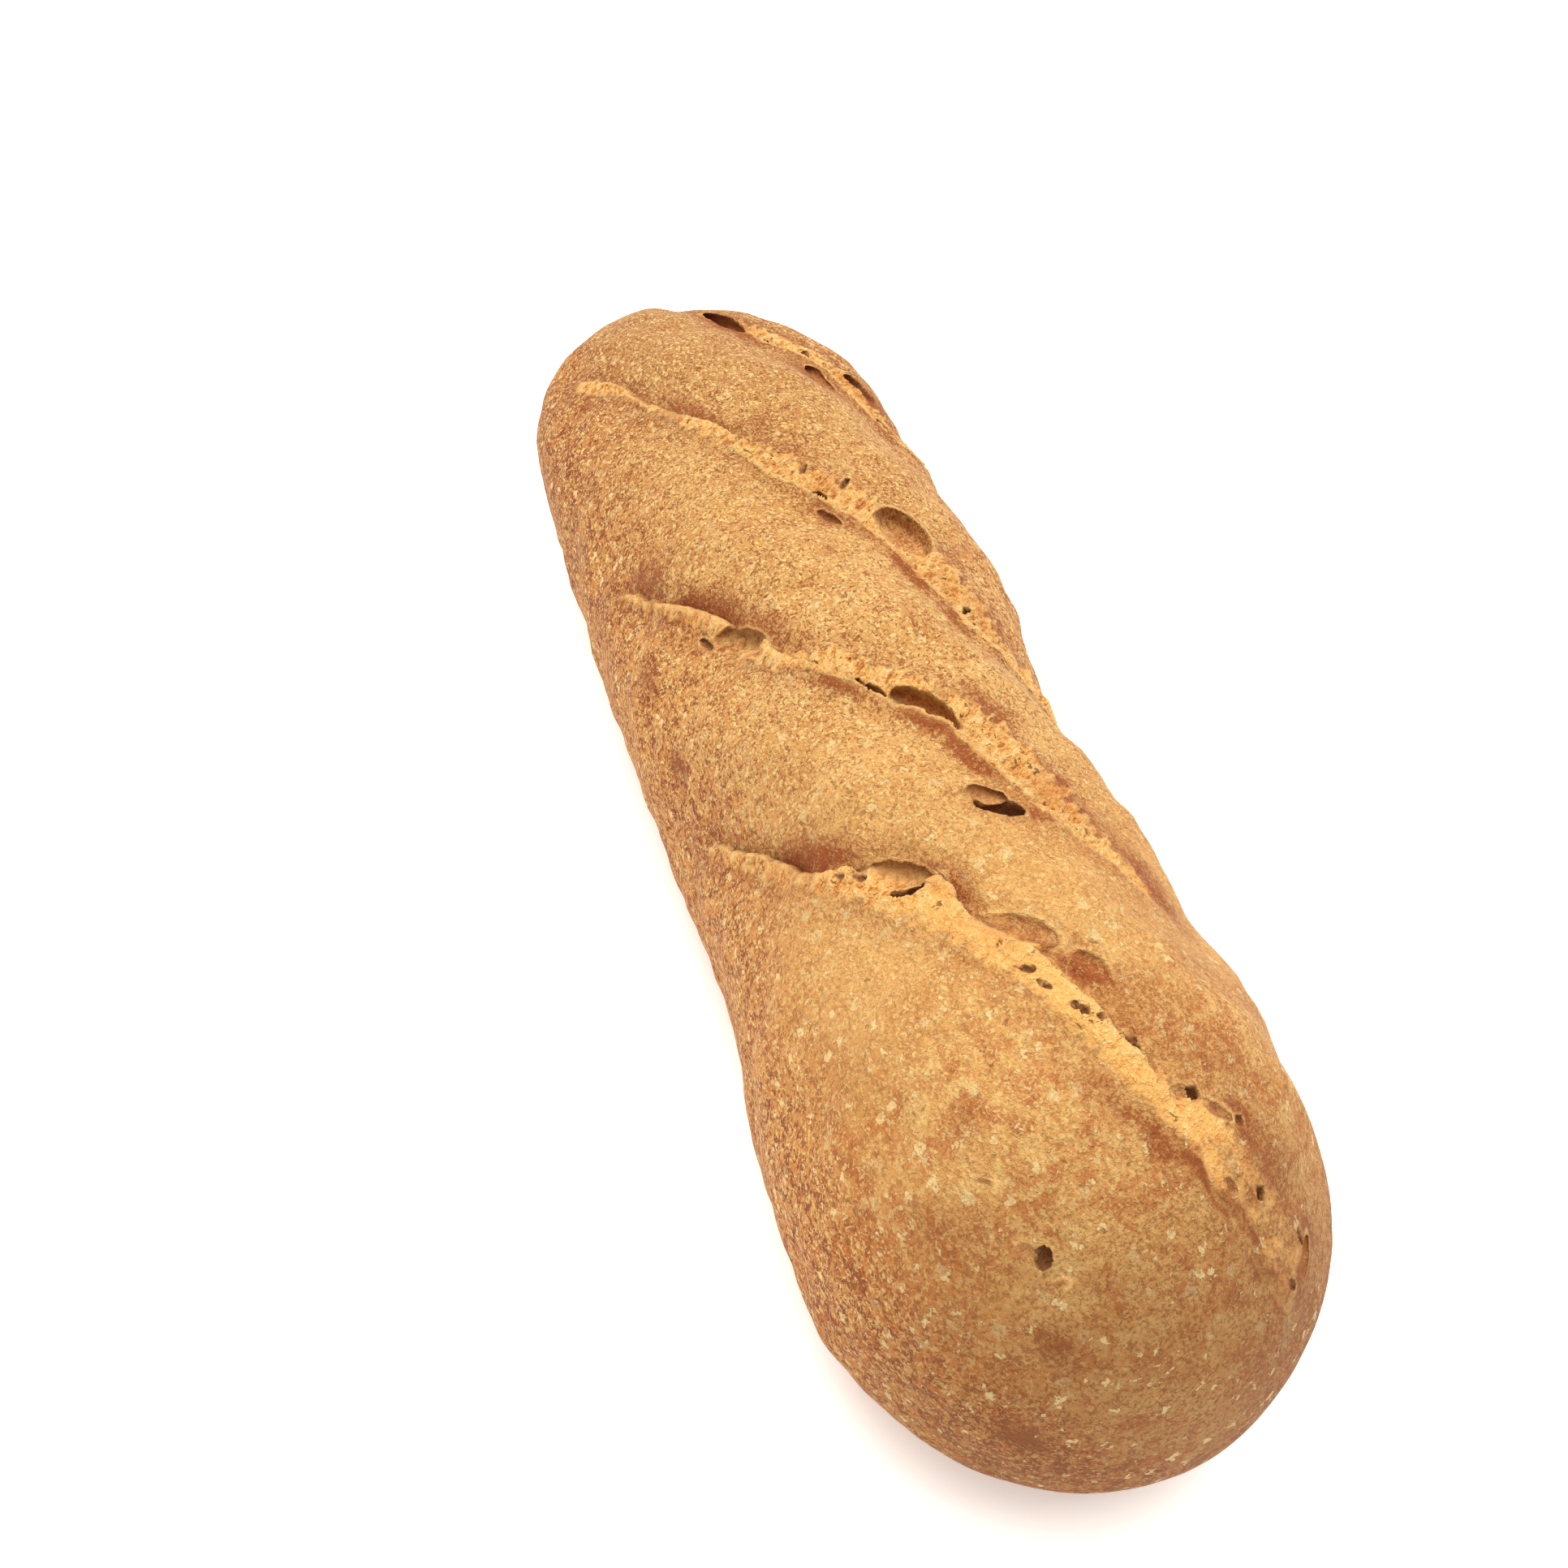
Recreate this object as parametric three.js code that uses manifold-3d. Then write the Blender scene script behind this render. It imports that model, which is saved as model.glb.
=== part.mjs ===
// A small wholemeal baguette, baked as one piece: a round-ended loaf on its flat sole, slashed four
// times across the top. Each slash tore open in the oven into a strip of crumb behind a thin lip,
// with gas bubbles burst open along it.
// Millimetres and degrees, +Z up. The loaf lies along X with its fuller end at +X and rests on z = 0.

import * as THREE from 'three';
import { mergeVertices } from 'three/addons/utils/BufferGeometryUtils.js';
import Module from 'manifold-3d';

// ---- Driving dimensions ------------------------------------------------------------------------

// The loaf without its slashes
const LENGTH = 236;
const HALF_WIDTH = 33;         // at the middle of the length
const END_SWELL = 2.8;         // the ends are this much wider on each side
const WAIST = 4.1;             // the loaf narrows by this much on each side ...
const WAIST_AT = 0.31;         // ... here, as a share of the half length from the middle
const WAIST_SPREAD = 0.3;
const BELLY = 23.5;            // height of the widest line above the table
const CROWN = 32.5;            // the top is this much higher than the widest line
const CROWN_SLOPE = 10.5;      // and higher by this much towards the fuller end
const UNDERSIDE = 26.5;        // the underside would reach this deep, but the table flattens it
const END_POWER = 6.6;         // a high power keeps the loaf full almost to its ends
const END_ROUND = 1.8;
const UNDER_POWER = 2.6;       // squarer than an ellipse where the loaf sits on its sole
const BEND = 4.2;              // sideways sweep of the centre line, an S from end to end
const SIDE_SHIFT = -1.1;       // brings the middle of the loaf's width onto the X axis
const SKIN_RADIUS = 34;        // turns an angle round the loaf into millimetres on its crust

// The slashes, as stations along the knife's path:
// [x, angle from the top (positive towards +Y), half width of the torn strip, depth,
//  where the crack lies (-1 at the +X edge, 1 at the -X edge), how far the +X lip curls up]
const SLASHES = [
  [
    [-103, 6, 0.5, 0, -0.8, 0], [-92, 19, 3.8, 2.2, -0.8, 0.3], [-81, 36, 5, 2.2, -0.8, 0.6],
    [-70, 49, 5, 2.2, -0.8, 0.8], [-58, 55, 4.6, 1.9, -0.8, 0.5], [-50, 63, 3.5, 0.8, -0.8, 0.3],
    [-44, 75, 1, 0, -0.8, 0],
  ],
  [
    [-87, -62, 0.4, 0, 1, 0], [-75, -46.5, 1.6, 0.9, 1, 0.5], [-62, -34, 1.5, 1.2, 1, 0.6],
    [-50, -21.5, 2.1, 1.7, 0.9, 0.6], [-40, -10.5, 3.2, 2.6, -0.5, 0.6], [-31, 1.5, 4.3, 3.2, -0.8, 0.8],
    [-21, 15, 5, 3.3, -0.8, 0.8], [-9, 26, 5.4, 3.4, -0.8, 0.4], [2, 32, 5.6, 3.2, -0.8, 0.6],
    [10, 41, 5.4, 2.2, -0.8, 0.5], [16, 57, 4, 0.7, -0.8, 0.2], [20, 75, 1.5, 0, -0.8, 0],
  ],
  [
    [-31, -76, 0.4, 0, 1, 0], [-21, -60.5, 1.2, 0.8, 1, 0.4], [-12, -49.5, 1.7, 1.5, 1, 0.6],
    [-3, -39.5, 2.4, 2.2, 1, 0.6], [6, -30.5, 2.1, 1.6, 0.6, 0.6], [13.3, -20, 2.9, 2.1, -0.5, 0.7],
    [20.8, -8, 3.5, 2.8, -0.8, 0.8], [30, 5, 4.2, 3.4, -0.8, 1], [40, 13, 4.6, 3.4, -0.8, 1.2],
    [49.5, 18.5, 4.4, 2.6, -0.8, 0.6], [58, 25, 2.6, 1.3, -0.8, 0.3], [66, 33, 0.6, 0, -0.8, 0],
  ],
  [
    [21, -80, 0.4, 0, 1, 0], [31, -61.5, 1.1, 1, 1, 0.5], [37.5, -50.5, 1.8, 1.6, 1, 0.7],
    [46, -40, 1.5, 1.9, 1, 0.6], [54.7, -24.5, 3.6, 2.6, 0.9, 0.2], [64, -16.5, 2.4, 2, 0.8, 0.2],
    [71, -7.5, 3.9, 2.4, 0.45, 0.3], [79.3, -2, 3.4, 1.8, 0.4, 0.2], [89, 3.3, 3.2, 1.5, 0.3, 0.2],
    [98.5, 14.5, 4.4, 1.8, -0.6, 0.4], [106, 29, 4, 2, -0.8, 0.5], [110.5, 48, 0.4, 0, -0.6, 0],
  ],
];
const WALL = 1.5;              // the steep side of a crack is this wide
const STRIP_POWER = 1.2;       // the torn strip sags a little towards its crack
const LIP_WIDTH = 2.2;
const END_FADE = 3;            // a slash's relief dies away this far beyond its end
const DOME_RISE = 2;           // the crust between two slashes swells
const DOME_REACH = 15;         // and sinks towards a slash from this far

// Burst bubbles: place, [length, width, depth] and the turn of the length from +X towards +Y
const BUBBLES = [
  { at: [-92.5, 16.5], size: [15, 8, 8], turn: 12 },
  { at: [-66, 34.5], size: [10, 5, 2.4], turn: 10 },
  { at: [-70, 56], size: [9, 4, 5], turn: 25 },
  { at: [-26.3, 5], size: [4, 3.2, 4], turn: 15 },
  { at: [-18.6, 2.8], size: [5.6, 3, 2], turn: 28 },
  { at: [-15, 24.5], size: [14, 11.4, 7], turn: -15 },
  { at: [1.6, -37.3], size: [12.4, 5.4, 6], turn: 54 },
  { at: [20.2, -12.2], size: [5, 2.2, 2.6], turn: 36 },
  { at: [28, 0.4], size: [11.6, 5, 6], turn: 36 },
  { at: [49, 2.2], size: [8.2, 3.4, 6], turn: 64 },
  { at: [54.6, -22], size: [12, 6, 4.5], turn: 56 },
  { at: [68.4, -8], size: [10.5, 4.4, 3], turn: 52 },
  { at: [74.4, 1.2], size: [6.6, 4, 2.4], turn: 20 },
  { at: [92, 10.9], size: [2.6, 2.4, 3.6], turn: 0 },
  { at: [101.8, 22], size: [2.6, 2.6, 4], turn: 0 },
  { at: [107, 37.5], size: [5.4, 3.4, 3], turn: 60 },
  { at: [102.4, -28], size: [2.8, 3.2, 4.4], turn: 0 },
];
const BUBBLE_SINK = 0.2;       // a bubble's middle lies this share of its depth under the crust

// Hand-made unevenness of the crust, as waves of [length along, length round, height]
const LUMPS = [[61, 74, 0.55], [37, 41, 0.4], [23, 29, 0.3], [14, 17, 0.2]];

// Single swellings and hollows of the flanks: place, how far they spread and how high they rise
const SWELLINGS = [
  { at: [-14, 62], reach: 15, height: 1.4 },
  { at: [27, 48], reach: 8, height: -1.4 },
  { at: [49, 46], reach: 7, height: 1 },
  { at: [-80, 60], reach: 14, height: 0.9 },
  { at: [42, 48], reach: 13, height: 1 },
  { at: [73, 48], reach: 9, height: 0.8 },
  { at: [-54, -100], reach: 16, height: -0.8 },
];

// How finely the crust is faceted
const RINGS = 72;
const COLUMN_ZONES = [[84, 4], [140, 8], [180, 20]];  // out to this angle, a column every so many degrees
const ROUTE_STEPS = 48;
const LARGE_BUBBLE = 6;        // bubbles longer than this are cut as finer eggs

// ---- The loaf's own form -----------------------------------------------------------------------

const bell = (v) => Math.exp(-v * v);
const rise = (v) => THREE.MathUtils.smoothstep(v, 0, 1);
const radians = THREE.MathUtils.degToRad;
const endCap = (share) => Math.max(0, 1 - Math.abs(share) ** END_POWER) ** (1 / END_ROUND);

// A cross-section: distance from the belly line to the crust in the direction of the angle
function reach(share, angle) {
  const cap = endCap(share);
  if (cap === 0) return 0;
  const pinch = WAIST * bell((share - WAIST_AT) / WAIST_SPREAD);
  const half = (HALF_WIDTH + END_SWELL * share * share - pinch) * cap;
  const side = Math.abs(Math.sin(angle));
  const up = Math.cos(angle);
  if (up >= 0) return 1 / Math.hypot(side / half, up / ((CROWN + CROWN_SLOPE * share) * cap));
  const down = UNDERSIDE * cap ** 0.8;
  return ((side / half) ** UNDER_POWER + (-up / down) ** UNDER_POWER) ** (-1 / UNDER_POWER);
}

function crust(x, degrees, relief = 0) {
  const share = 2 * x / LENGTH;
  const angle = radians(degrees);
  const centre = BEND * (share ** 3 - share) + SIDE_SHIFT;
  const radius = reach(share, angle) + relief * endCap(share);
  const height = BELLY + radius * Math.cos(angle);
  // Under the table line the crust is pressed flat, straight towards the belly line
  const shorter = height < 0 ? BELLY / (BELLY - height) : 1;
  return new THREE.Vector3(x, centre + radius * shorter * Math.sin(angle), Math.max(0, height));
}

// ---- Relief: slashes, domes and unevenness -----------------------------------------------------

const onSkin = (x, degrees) => new THREE.Vector3(x, radians(degrees) * SKIN_RADIUS, 0);

// A slash as two smooth curves with the same parameter: its path, and its section along the path
const slashes = SLASHES.map((stations) => {
  const path = new THREE.CatmullRomCurve3(stations.map(([x, degrees]) => onSkin(x, degrees)));
  const section = new THREE.CatmullRomCurve3(
    stations.map(([, , half, depth, crack]) => new THREE.Vector3(half, depth, crack)),
  );
  const lips = new THREE.CatmullRomCurve3(stations.map((station) => new THREE.Vector3(station[5], 0, 0)));
  for (const curve of [path, section, lips]) curve.curveType = 'catmullrom';
  const steps = Array.from({ length: ROUTE_STEPS + 1 }, (_, step) => step / ROUTE_STEPS);
  return steps.map((share) => {
    const { x: half, y: depth, z: crack } = section.getPoint(share);
    return { point: path.getPoint(share), half, depth, crack, lip: lips.getPoint(share).x };
  });
});

// Where a place on the skin lies from a slash: the nearest step of it, how far away, and how far
// across it, positive towards its -X side
function fromSlash(place, slash) {
  let step = 0;
  let distance = Infinity;
  slash.forEach(({ point }, number) => {
    const gap = point.distanceTo(place);
    if (gap < distance) [distance, step] = [gap, number];
  });
  const before = slash[Math.max(0, step - 1)].point;
  const after = slash[Math.min(ROUTE_STEPS, step + 1)].point;
  const run = after.clone().sub(before).normalize();
  const off = place.clone().sub(slash[step].point);
  return { ...slash[step], distance, across: run.x * off.y - run.y * off.x };
}

// Across a slash: a lip along the +X edge, the fall to the crack, and the climb to the -X edge
function slashRelief({ distance, across, half, depth, crack, lip }) {
  const beyondEnd = Math.sqrt(Math.max(0, distance * distance - across * across));
  const room = Math.max(half, WALL);
  const bottom = THREE.MathUtils.clamp(crack * room, WALL - room, room - WALL);
  const share = across < bottom ? (across + room) / (bottom + room) : (room - across) / (room - bottom);
  const drop = depth * THREE.MathUtils.clamp(share, 0, 1) ** STRIP_POWER;
  return (1 - rise(beyondEnd / END_FADE)) * (lip * bell((across + room) / LIP_WIDTH) - drop);
}

function relief(x, degrees) {
  const place = onSkin(x, degrees);
  const overTop = rise(1.35 - Math.abs(degrees) / 90);
  let height = 0;
  let nearest = Infinity;
  for (const slash of slashes) {
    const seen = fromSlash(place, slash);
    nearest = Math.min(nearest, Math.max(0, seen.distance - seen.half));
    height += slashRelief(seen);
  }
  height += overTop * DOME_RISE * (rise(nearest / DOME_REACH) - 0.5);
  for (const { at: [swellX, swellDegrees], reach: spread, height: size } of SWELLINGS) {
    height += size * bell(place.distanceTo(onSkin(swellX, swellDegrees)) / spread);
  }
  LUMPS.forEach(([alongLength, roundLength, size], number) => {
    const wave = Math.sin(2 * Math.PI * place.x / alongLength + number * 1.7);
    height += size * wave * Math.cos(2 * Math.PI * place.y / roundLength + wave + number);
  });
  return height;
}

// ---- Building the solid ------------------------------------------------------------------------

// Ring places, evenly spaced along the loaf's outline so that the ends are as fine as the middle
function ringPlaces(count) {
  const fine = 4000;
  const shares = Array.from({ length: fine + 1 }, (_, i) => Math.sin(Math.PI * (i / fine - 0.5)));
  const outline = shares.map((share) => (
    new THREE.Vector2(share * LENGTH / 2, endCap(share) * HALF_WIDTH)
  ));
  const travelled = [0];
  for (let i = 1; i <= fine; i++) travelled.push(travelled[i - 1] + outline[i].distanceTo(outline[i - 1]));
  const places = [];
  for (let ring = 1; ring < count; ring++) {
    const goal = travelled[fine] * ring / count;
    places.push(outline[travelled.findIndex((length) => length >= goal)].x);
  }
  return places;
}

// Column angles, fine over the top, coarser down the flanks and wide across the flat sole
function columnAngles() {
  const half = [0];
  for (const [limit, step] of COLUMN_ZONES) {
    while (half.at(-1) < limit) half.push(half.at(-1) + step);
  }
  const mirrored = half.slice(1, -1).reverse().map((degrees) => -degrees);
  return [...mirrored, ...half];
}

function loafGrid() {
  const places = ringPlaces(RINGS);
  const angles = columnAngles();
  const columns = angles.length;
  const points = [];
  for (const x of places) {
    for (const degrees of angles) points.push(crust(x, degrees, relief(x, degrees)));
  }
  const thinTip = points.push(crust(-LENGTH / 2, 0)) - 1;
  const fullTip = points.push(crust(LENGTH / 2, 0)) - 1;
  const index = [];
  for (let column = 0; column < columns; column++) {
    const next = (column + 1) % columns;
    const last = (places.length - 1) * columns;
    index.push(thinTip, column, next);
    index.push(fullTip, last + next, last + column);
    for (let ring = 0; ring < places.length - 1; ring++) {
      const here = ring * columns;
      const beyond = here + columns;
      index.push(here + column, beyond + column, beyond + next);
      index.push(here + column, beyond + next, here + next);
    }
  }
  return new THREE.BufferGeometry().setFromPoints(points).setIndex(index);
}

// An egg-shaped hollow, sunk into the crust and turned to lie along it
function bubbleGeometry({ at: [x, degrees], size: [length, width, depth], turn }) {
  const middle = crust(x, degrees, relief(x, degrees));
  const along = crust(x + 1, degrees).sub(crust(x - 1, degrees)).normalize();
  const round = crust(x, degrees + 1).sub(crust(x, degrees - 1));
  const out = along.clone().cross(round).normalize();
  round.crossVectors(out, along);
  const egg = new THREE.IcosahedronGeometry(1, length > LARGE_BUBBLE ? 2 : 1);
  egg.scale(length / 2, width / 2, depth).rotateZ(radians(turn));
  const placed = new THREE.Matrix4().makeBasis(along, round, out);
  placed.setPosition(middle.addScaledVector(out, -BUBBLE_SINK * depth));
  return egg.applyMatrix4(placed);
}

const wasm = await Module();
wasm.setup();

function toSolid(geometry) {
  const bare = new THREE.BufferGeometry().setAttribute('position', geometry.getAttribute('position'));
  const whole = mergeVertices(bare.setIndex(geometry.getIndex()), 1e-4);
  return new wasm.Manifold(new wasm.Mesh({
    numProp: 3,
    vertProperties: new Float32Array(whole.getAttribute('position').array),
    triVerts: new Uint32Array(whole.getIndex().array),
  }));
}

function toGeometry(solid) {
  const { vertProperties, triVerts } = solid.getMesh();
  const geometry = new THREE.BufferGeometry();
  geometry.setAttribute('position', new THREE.BufferAttribute(vertProperties, 3));
  geometry.setIndex(new THREE.BufferAttribute(triVerts, 1));
  geometry.computeVertexNormals();
  return geometry;
}

let loaf = toSolid(loafGrid());
for (const bubble of BUBBLES) loaf = loaf.subtract(toSolid(bubbleGeometry(bubble)));

const crustMaterial = new THREE.MeshStandardMaterial({ color: 0xc98a4b, roughness: 0.8, metalness: 0 });
const loafMesh = new THREE.Mesh(toGeometry(loaf), crustMaterial);
loafMesh.name = 'loaf';

const baguette = new THREE.Group();
baguette.add(loafMesh);

export default baguette;
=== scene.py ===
"""A small wholemeal baguette with four slashes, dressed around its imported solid."""
import bpy
import bmesh
import numpy as np
from mathutils import Euler, Matrix, Vector, noise


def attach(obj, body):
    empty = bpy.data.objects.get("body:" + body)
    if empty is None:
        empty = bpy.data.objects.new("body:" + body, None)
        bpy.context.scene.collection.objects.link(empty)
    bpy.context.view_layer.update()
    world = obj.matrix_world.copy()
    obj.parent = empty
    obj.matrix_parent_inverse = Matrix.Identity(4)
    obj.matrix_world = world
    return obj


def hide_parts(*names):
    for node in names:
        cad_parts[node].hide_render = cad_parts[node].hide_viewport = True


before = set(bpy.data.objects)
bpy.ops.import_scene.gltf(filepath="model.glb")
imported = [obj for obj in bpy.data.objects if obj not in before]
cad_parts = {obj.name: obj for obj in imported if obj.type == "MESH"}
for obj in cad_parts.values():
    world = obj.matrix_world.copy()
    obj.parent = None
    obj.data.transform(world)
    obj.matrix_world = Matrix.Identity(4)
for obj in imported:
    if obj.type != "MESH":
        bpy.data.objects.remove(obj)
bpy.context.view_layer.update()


# --- The loaf -------------------------------------------------------------------------------
# One piece of wholemeal dough: a blunt bar that was slashed four times across the top and
# baked on a tray. It swelled towards its ends, tore open along the slashes, and stayed flat
# and a little browner underneath. All sizes are in millimetres until the last step.

# The bar's section is an arch over a squarer underside, both taken from its widest line.
LENGTH = 236
HALF_WIDTH = 33
END_SWELL = 2.8         # how much half width the ends gain
WAIST = 4.1             # how much the waist loses
WAIST_AT = 0.31         # as a share of half the length
WAIST_SPREAD = 0.3
BELLY = 23.5            # height of the widest line
CROWN = 32.5            # from there up to the top, halfway along
CROWN_SLOPE = 10.5      # how much taller that is at the fuller end
UNDERSIDE = 26.5        # from there down, before the tray cuts it flat
UNDER_POWER = 2.6       # how square the underside is
UNDER_TAPER = 0.8       # how soon it draws in towards the ends
END_POWER = 6.6         # how blunt the ends are, seen from above
END_ROUND = 1.8         # and how round
BEND = 4.2              # a slight S, seen from above
SIDE_SHIFT = -1.1       # brings the bent bar back to the middle
SKIN_RADIUS = 34        # turns an angle round the loaf into a distance over its skin
TINY = 1e-6             # keeps the very tips from dividing by nothing


def bell(v):
    """1 at nought, falling away on both sides."""
    return np.exp(-v * v)


def rise(v):
    """0 up to nought, 1 from one on, smooth between."""
    v = np.clip(v, 0, 1)
    return v * v * (3 - 2 * v)


def end_cap(share):
    """How much of its girth the bar keeps at a share of half its length."""
    return np.maximum(1 - np.abs(share) ** END_POWER, 0) ** (1 / END_ROUND)


def wrap(x, angle, relief):
    """Places of skin points, given their stations, their angles from the top in degrees, and
    how far they stand proud."""
    share = np.clip(2 * x / LENGTH, -1, 1)
    cap = end_cap(share)
    waist = WAIST * bell((share - WAIST_AT) / WAIST_SPREAD)
    half = (HALF_WIDTH + END_SWELL * share**2 - waist) * cap + TINY
    sideways, upwards = np.sin(np.radians(angle)), np.cos(np.radians(angle))
    above = upwards >= 0
    power = np.where(above, 2, UNDER_POWER)
    tall = np.where(above, (CROWN + CROWN_SLOPE * share) * cap, UNDERSIDE * cap**UNDER_TAPER) + TINY
    reach = (np.abs(sideways / half) ** power + np.abs(upwards / tall) ** power) ** (-1 / power)
    reach = reach + relief * cap
    height = BELLY + reach * upwards
    shorter = np.where(height < 0, BELLY / np.maximum(BELLY - height, 1), 1)
    middle = BEND * (share**3 - share) + SIDE_SHIFT
    return np.stack([x, middle + reach * shorter * sideways, np.maximum(height, 0)], axis=-1)


def across_skin(angle):
    """An angle in degrees as a distance over the skin."""
    return np.radians(angle) * SKIN_RADIUS


# Each slash is a row of stations: x, angle, half width of the torn band, depth, where its
# crack lies (-1 at the near edge, 1 at the far edge), and how far the near lip stands up.
SLASHES = [
    [
        (-103, 6, 0.5, 0.0, -0.8, 0.0), (-97, 13, 2.6, 1.6, -0.8, 0.2),
        (-90, 21, 4.2, 2.2, -0.8, 0.3), (-83, 33, 5.0, 2.2, -0.8, 0.5),
        (-76, 43, 5.0, 2.2, -0.8, 0.7), (-68, 50, 5.0, 2.2, -0.8, 0.8),
        (-60, 53, 5.0, 2.0, -0.8, 0.6), (-52, 61, 4.0, 1.2, -0.8, 0.4),
        (-44, 75, 1.0, 0.0, -0.8, 0.0),
    ],
    [
        (-87, -62, 0.8, 0.3, 1.0, 0.0), (-80, -53, 2.0, 0.55, 1.0, 0.1),
        (-75, -46.5, 1.8, 0.6, 1.0, 0.1), (-70, -41.5, 0.8, 0.7, 1.0, 0.2),
        (-65, -37, 0.7, 0.8, 1.0, 0.2), (-60, -32, 0.8, 0.9, 1.0, 0.3),
        (-55, -27.5, 1.1, 1.1, 1.0, 0.4), (-50, -21.5, 1.7, 1.5, 0.9, 0.5),
        (-45, -15.5, 2.7, 2.0, 0.2, 0.6), (-40, -10.5, 3.2, 2.4, -0.5, 0.6),
        (-35, -5, 4.2, 2.9, -0.7, 0.7), (-31, 1.5, 4.3, 3.2, -0.8, 0.8),
        (-26.5, 7.5, 4.6, 3.2, -0.8, 0.9), (-21, 15, 5.0, 3.2, -0.8, 0.8),
        (-14, 22.5, 5.6, 3.2, -0.8, 0.5), (-5.5, 28.5, 6.0, 3.2, -0.8, 0.4),
        (2, 33, 6.4, 2.9, -0.8, 0.6), (8.5, 39, 6.4, 2.2, -0.8, 0.6),
        (14, 50, 5.0, 1.1, -0.8, 0.4), (18, 63, 3.8, 0.5, -0.8, 0.2),
        (22, 82, 1.5, 0.0, -0.8, 0.0),
    ],
    [
        (-31, -76, 0.4, 0.0, 1.0, 0.0), (-26, -66, 0.7, 0.6, 1.0, 0.1),
        (-21, -60.5, 0.8, 0.8, 1.0, 0.2), (-16, -54.5, 0.9, 1.0, 1.0, 0.3),
        (-12, -49.5, 1.1, 1.3, 1.0, 0.4), (-7.5, -44.5, 1.4, 1.5, 1.0, 0.4),
        (-3, -39.5, 1.6, 1.4, 1.0, 0.4), (1.5, -36.5, 1.6, 1.2, 0.9, 0.3),
        (6, -30.5, 2.1, 1.5, 0.6, 0.6), (10, -26.5, 2.2, 1.6, 0.0, 0.6),
        (13.3, -20, 2.9, 2.0, -0.5, 0.7), (16.8, -13.5, 3.3, 2.4, -0.7, 0.8),
        (20.8, -8, 3.5, 2.7, -0.8, 0.8), (25.5, -2, 4.0, 3.2, -0.8, 0.8),
        (30, 5, 4.2, 3.4, -0.8, 1.0), (35, 10, 4.8, 3.4, -0.8, 1.2),
        (40, 14, 5.4, 3.4, -0.8, 1.2), (45, 17, 5.6, 3.0, -0.8, 0.9),
        (49.5, 18.5, 4.4, 2.6, -0.8, 0.6), (54, 22, 3.2, 1.9, -0.8, 0.4),
        (59, 25.5, 2.4, 1.2, -0.8, 0.3), (66, 33, 0.6, 0.0, -0.8, 0.0),
    ],
    [
        (21, -80, 0.4, 0.0, 1.0, 0.0), (27.4, -69, 1.0, 0.7, 1.0, 0.1),
        (31.5, -63, 1.3, 0.9, 1.0, 0.2), (34.6, -57.5, 1.5, 1.2, 1.0, 0.3),
        (38.2, -52, 1.5, 1.4, 1.0, 0.3), (42.8, -46.5, 1.3, 1.5, 1.0, 0.3),
        (46.6, -41, 1.2, 1.4, 1.0, 0.3), (49.5, -36, 1.5, 1.4, 1.0, 0.4),
        (52, -31, 2.3, 2.0, 1.0, 0.4), (54.7, -24.5, 3.6, 2.4, 0.9, 0.4),
        (59.5, -19, 3.4, 2.3, 0.9, 0.4), (64, -16.5, 2.4, 2.0, 0.8, 0.4),
        (68.5, -11.5, 2.8, 2.0, 0.6, 0.4), (74, -6.5, 2.8, 1.6, 0.6, 0.3),
        (79.3, -3.5, 2.5, 1.3, 0.6, 0.3), (84, -1, 2.3, 1.2, 0.7, 0.3),
        (89, 2.8, 2.1, 1.0, 0.5, 0.3), (94, 7.5, 2.6, 0.6, 0.0, 0.1),
        (98.5, 14.5, 4.0, 0.35, -0.9, -0.5), (103, 21.5, 4.2, 0.3, -0.9, -0.9),
        (106, 29, 3.8, 0.3, -0.9, -1.0), (108, 36, 2.8, 0.3, -0.9, -0.6),
        (109.5, 42, 1.6, 0.2, -0.8, -0.3), (110.5, 48, 0.4, 0.0, -0.6, 0.0),
    ],
]
SLASH_STEPS = 10        # pieces of line between two stations
SLASH_REACH = 30        # no slash is looked for further along the loaf than this
FAR_OFF = 1e9           # the distance where no slash is near


def slash_track(stations):
    """A smooth line through a slash's stations: rows of x, skin distance, the slash's values,
    the line's direction there, and how far along it they lie."""
    rows = np.array(stations, float)
    rows[:, 1] = across_skin(rows[:, 1])
    padded = np.vstack([2 * rows[0] - rows[1], rows, 2 * rows[-1] - rows[-2]])
    t = np.linspace(0, 1, SLASH_STEPS, endpoint=False)[:, None]
    track = []
    for a, b, c, d in zip(padded, padded[1:], padded[2:], padded[3:]):
        square, cube = 2 * a - 5 * b + 4 * c - d, 3 * b - 3 * c + d - a
        track.append(0.5 * (2 * b + (c - a) * t + square * t**2 + cube * t**3))
    track = np.vstack(track + [rows[-1:]])
    run = np.gradient(track[:, :2], axis=0)
    steps = np.diff(track[:, :2], axis=0, prepend=track[:1, :2])
    travelled = np.cumsum(np.hypot(*steps.T))
    return np.hstack([track, run / np.linalg.norm(run, axis=1, keepdims=True), travelled[:, None]])


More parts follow.
